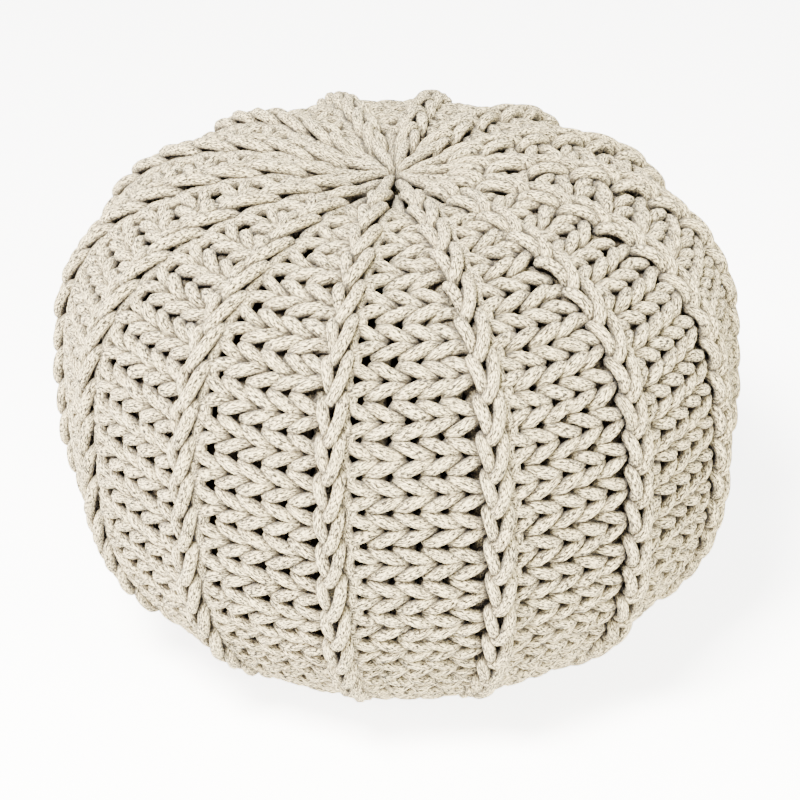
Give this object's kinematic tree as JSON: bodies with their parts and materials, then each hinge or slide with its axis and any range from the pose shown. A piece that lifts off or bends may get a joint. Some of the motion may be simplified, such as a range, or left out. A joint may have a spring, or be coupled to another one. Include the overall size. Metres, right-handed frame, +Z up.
{
  "type": "knitted pouf",
  "caption": "Round filled pouf in a chunky sideways-knitted cotton cord cover, with raised ribs between its gores and gathered poles; stands on its flattened base.",
  "frame": {"origin": "middle of the flat base, on the surface that the pouf stands on", "axes": "+Z up through the gathered crown; one rib faces -Y"},
  "size_m": [0.4873, 0.5, 0.3696],
  "materials": {
    "knit": "matt cream cotton cord, sideways stocking stitch",
    "rib_cord": "matt cream cotton cord, raised chain of stitches",
    "gather_cord": "matt cream cotton cord, gathered and drawn shut"
  },
  "bodies": {
    "root": {"filled_body": "knit", "rib_01": "rib_cord", "rib_02": "rib_cord", "rib_03": "rib_cord", "rib_04": "rib_cord", "rib_05": "rib_cord", "rib_06": "rib_cord", "rib_07": "rib_cord", "rib_08": "rib_cord", "rib_09": "rib_cord", "rib_10": "rib_cord", "rib_11": "rib_cord", "rib_12": "rib_cord", "rib_13": "rib_cord", "rib_14": "rib_cord", "crown_gather": "gather_cord", "base_gather": "gather_cord"}
  },
  "joints": []
}
